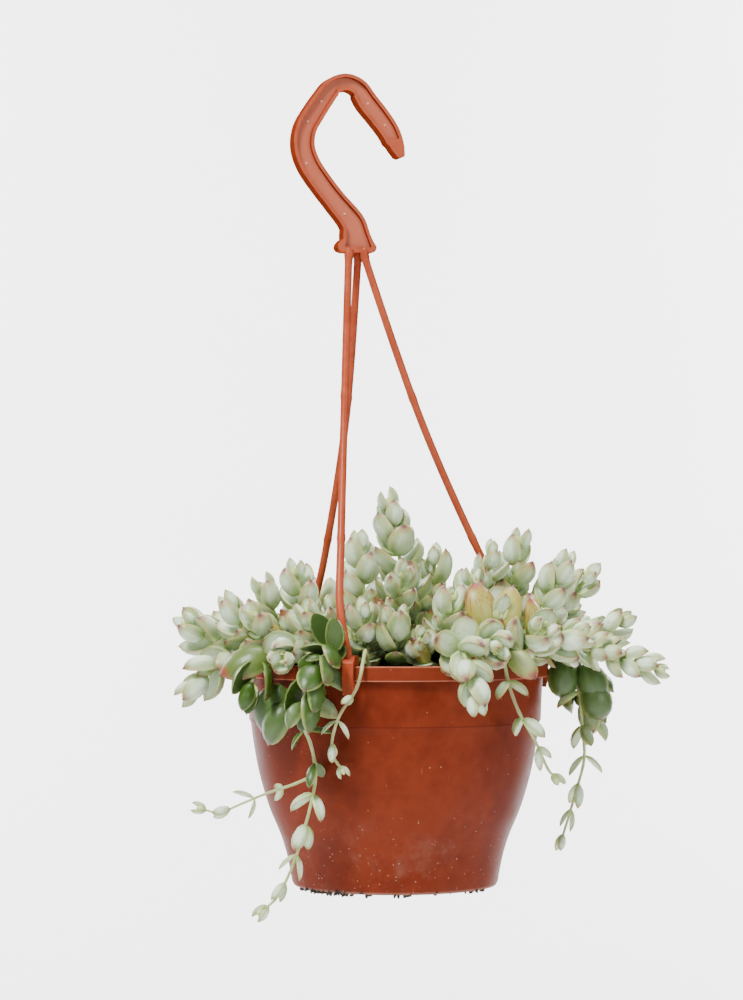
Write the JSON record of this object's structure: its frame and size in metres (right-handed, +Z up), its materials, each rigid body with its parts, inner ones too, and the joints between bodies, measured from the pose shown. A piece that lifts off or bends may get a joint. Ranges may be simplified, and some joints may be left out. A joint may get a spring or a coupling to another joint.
{
  "type": "potted cotyledon",
  "caption": "Trailing cotyledon with powdery, boat-shaped leaves in a terracotta-coloured plastic pot that hangs on a moulded hook hanger.",
  "frame": {"origin": "seat of the hook, where the load hangs", "axes": "+Z up, -Y towards the front of the plant, +X to the right of someone who faces the front"},
  "size_m": [0.2244, 0.1896, 0.3773],
  "materials": {
    "hanger": "matt, light terracotta",
    "pot": "matt terracotta",
    "soil": "rough, moist earth",
    "stem_arm_left": "powdery bloom",
    "stem_arm_right": "powdery bloom",
    "stem_back_crown": "powdery bloom",
    "stem_back_far_left": "powdery bloom",
    "stem_back_far_right": "powdery bloom",
    "stem_back_left": "powdery bloom",
    "stem_back_lip": "powdery bloom",
    "stem_back_middle": "powdery bloom",
    "stem_back_right": "powdery bloom",
    "stem_back_under": "powdery bloom",
    "stem_crown": "powdery bloom",
    "stem_crown_front": "powdery bloom",
    "stem_heart": "powdery bloom",
    "stem_heart_front": "powdery bloom",
    "stem_left": "powdery bloom",
    "stem_left_back": "powdery bloom",
    "stem_left_far": "powdery bloom",
    "stem_left_high": "powdery bloom",
    "stem_left_low": "powdery bloom",
    "stem_left_middle": "powdery bloom",
    "stem_lip_front": "powdery bloom",
    "stem_lip_left": "powdery bloom",
    "stem_lip_right": "powdery bloom",
    "stem_mid_front": "powdery bloom",
    "stem_mid_low": "powdery bloom",
    "stem_right_far": "powdery bloom",
    "stem_right_front": "powdery bloom",
    "stem_right_gold": "powdery bloom",
    "stem_right_high": "powdery bloom",
    "stem_right_low": "powdery bloom",
    "stem_right_shoulder": "powdery bloom",
    "stem_right_slim": "powdery bloom",
    "stem_right_tall": "powdery bloom",
    "stem_right_under": "powdery bloom",
    "stem_right_wisp": "powdery bloom",
    "stem_trail_back": "powdery bloom",
    "stem_trail_left": "powdery bloom",
    "stem_trail_right": "powdery bloom",
    "stem_trail_short": "powdery bloom",
    "stem_trail_thin": "powdery bloom",
    "stem_under_left": "powdery bloom",
    "stem_under_lip": "powdery bloom"
  },
  "bodies": {
    "root": {"hanger": "hanger", "pot": "pot", "soil": "soil", "stem_arm_left": "stem_arm_left", "stem_arm_right": "stem_arm_right", "stem_back_crown": "stem_back_crown", "stem_back_far_left": "stem_back_far_left", "stem_back_far_right": "stem_back_far_right", "stem_back_left": "stem_back_left", "stem_back_lip": "stem_back_lip", "stem_back_middle": "stem_back_middle", "stem_back_right": "stem_back_right", "stem_back_under": "stem_back_under", "stem_crown": "stem_crown", "stem_crown_front": "stem_crown_front", "stem_heart": "stem_heart", "stem_heart_front": "stem_heart_front", "stem_left": "stem_left", "stem_left_back": "stem_left_back", "stem_left_far": "stem_left_far", "stem_left_high": "stem_left_high", "stem_left_low": "stem_left_low", "stem_left_middle": "stem_left_middle", "stem_lip_front": "stem_lip_front", "stem_lip_left": "stem_lip_left", "stem_lip_right": "stem_lip_right", "stem_mid_front": "stem_mid_front", "stem_mid_low": "stem_mid_low", "stem_right_far": "stem_right_far", "stem_right_front": "stem_right_front", "stem_right_gold": "stem_right_gold", "stem_right_high": "stem_right_high", "stem_right_low": "stem_right_low", "stem_right_shoulder": "stem_right_shoulder", "stem_right_slim": "stem_right_slim", "stem_right_tall": "stem_right_tall", "stem_right_under": "stem_right_under", "stem_right_wisp": "stem_right_wisp", "stem_trail_back": "stem_trail_back", "stem_trail_left": "stem_trail_left", "stem_trail_right": "stem_trail_right", "stem_trail_short": "stem_trail_short", "stem_trail_thin": "stem_trail_thin", "stem_under_left": "stem_under_left", "stem_under_lip": "stem_under_lip"}
  },
  "joints": []
}
